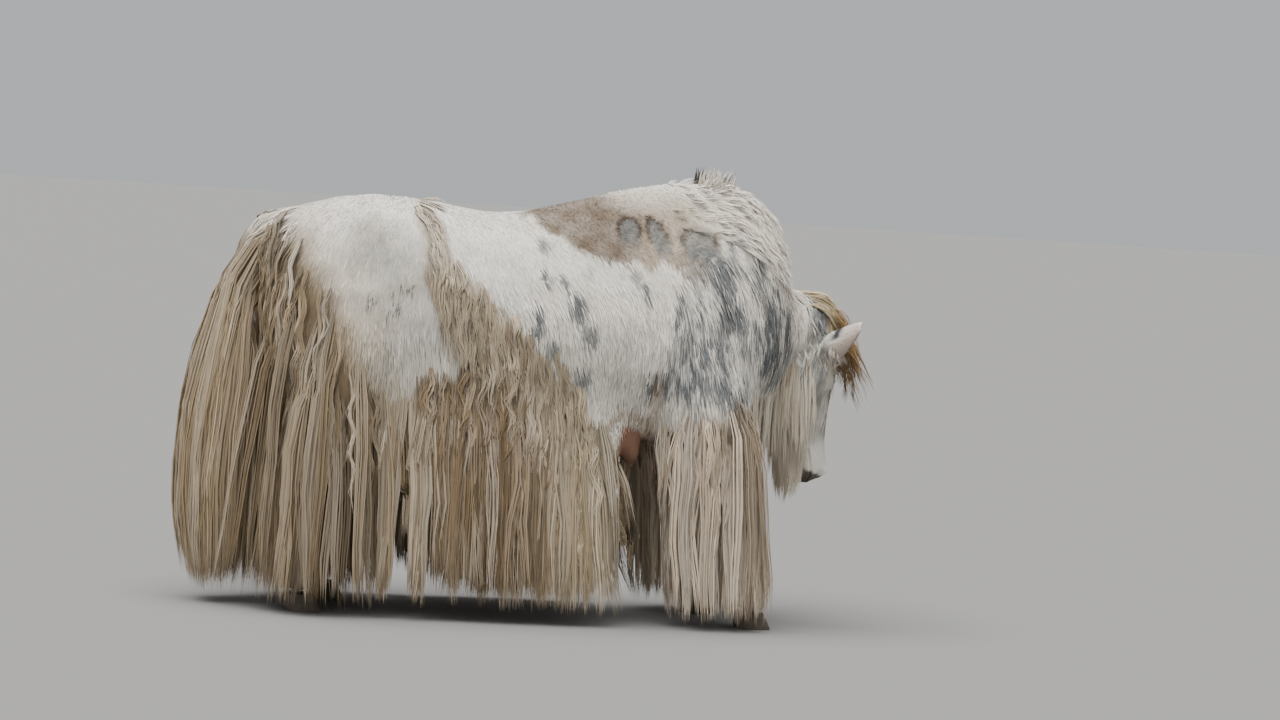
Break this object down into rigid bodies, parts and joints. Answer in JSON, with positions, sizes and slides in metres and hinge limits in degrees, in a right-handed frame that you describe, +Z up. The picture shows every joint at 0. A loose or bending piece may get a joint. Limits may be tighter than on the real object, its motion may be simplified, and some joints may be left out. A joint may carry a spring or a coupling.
{
  "type": "yak",
  "caption": "Standing hornless yak bull with a high hump, a lowered turned head, a full tail and a long coat that hangs nearly to the floor; a still, life-size model.",
  "frame": {"origin": "on the floor, under the middle of the animal's whole box", "axes": "+X the way the animal faces, +Y to its left, +Z up"},
  "size_m": [2.1879, 0.8121, 1.4638],
  "materials": {
    "white_coat": "short cream-white hair",
    "tan_coat": "long hanging tan hair, weathered and wavy",
    "grey_coat": "short grey-white mottled hair",
    "hoof_horn": "dull dark horn",
    "eye": "wet and dark"
  },
  "bodies": {
    "root": {"barrel": "white_coat", "ear_left": "grey_coat", "ear_right": "grey_coat", "eye_left": "eye", "eye_right": "eye", "fore_leg_left": "tan_coat", "fore_leg_right": "tan_coat", "head": "tan_coat", "hind_leg_left": "tan_coat", "hind_leg_right": "tan_coat", "hoof_fore_left_inner": "hoof_horn", "hoof_fore_left_outer": "hoof_horn", "hoof_fore_right_inner": "hoof_horn", "hoof_fore_right_outer": "hoof_horn", "hoof_hind_left_inner": "hoof_horn", "hoof_hind_left_outer": "hoof_horn", "hoof_hind_right_inner": "hoof_horn", "hoof_hind_right_outer": "hoof_horn", "neck": "grey_coat", "rump": "white_coat", "shoulders": "grey_coat", "skirt_left": "tan_coat", "skirt_right": "tan_coat", "tail": "tan_coat"}
  },
  "joints": []
}
